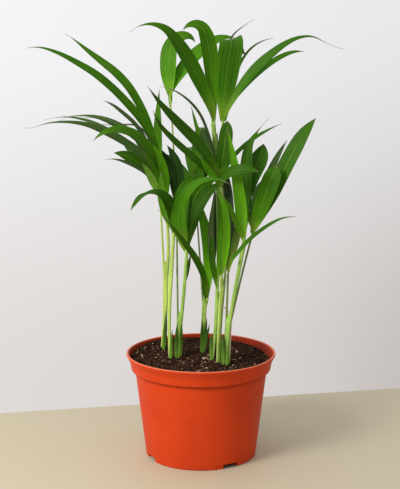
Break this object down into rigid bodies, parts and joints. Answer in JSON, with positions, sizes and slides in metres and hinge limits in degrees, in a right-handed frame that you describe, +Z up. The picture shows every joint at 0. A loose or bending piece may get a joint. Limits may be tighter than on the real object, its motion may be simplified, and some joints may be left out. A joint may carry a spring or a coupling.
{
  "type": "potted areca palm",
  "caption": "Young areca palm with slender sheathed stems and feathery fronds of narrow arching leaflets, in a tapered round nursery pot filled with potting mix.",
  "frame": {"origin": "middle of the flat underside of the pot, on the surface it stands on", "axes": "+Z up the plant, -Y towards the side it is seen from in the picture, +X to the right there"},
  "size_m": [0.3139, 0.2221, 0.4422],
  "materials": {
    "pot": "satin terracotta-coloured plastic",
    "potting_mix": "moist peat with bark and a few pale grains",
    "stem": "smooth green stem",
    "stalk": "smooth green stalk",
    "foliage": "satin green leaf"
  },
  "bodies": {
    "root": {"pot": "pot", "potting_mix": "potting_mix", "stem_1": "stem", "stem_2": "stem", "stem_3": "stem", "stem_4": "stem", "stem_5": "stem", "stem_6": "stem", "stem_7": "stem", "stalk_1a": "stalk", "stalk_1b": "stalk", "stalk_2a": "stalk", "stalk_2b": "stalk", "stalk_3a": "stalk", "stalk_3b": "stalk", "stalk_4a": "stalk", "stalk_4b": "stalk", "stalk_5a": "stalk", "stalk_5b": "stalk", "stalk_6a": "stalk", "stalk_6b": "stalk", "stalk_6c": "stalk", "stalk_7a": "stalk", "stalk_7b": "stalk", "stalk_7c": "stalk", "frond_1a": "foliage", "frond_1b": "foliage", "frond_2a": "foliage", "frond_2b": "foliage", "frond_3a": "foliage", "frond_3b": "foliage", "frond_4a": "foliage", "frond_4b": "foliage", "frond_5a": "foliage", "frond_5b": "foliage", "frond_6a": "foliage", "frond_6b": "foliage", "frond_6c": "foliage", "frond_7a": "foliage", "frond_7b": "foliage", "frond_7c": "foliage"}
  },
  "joints": []
}
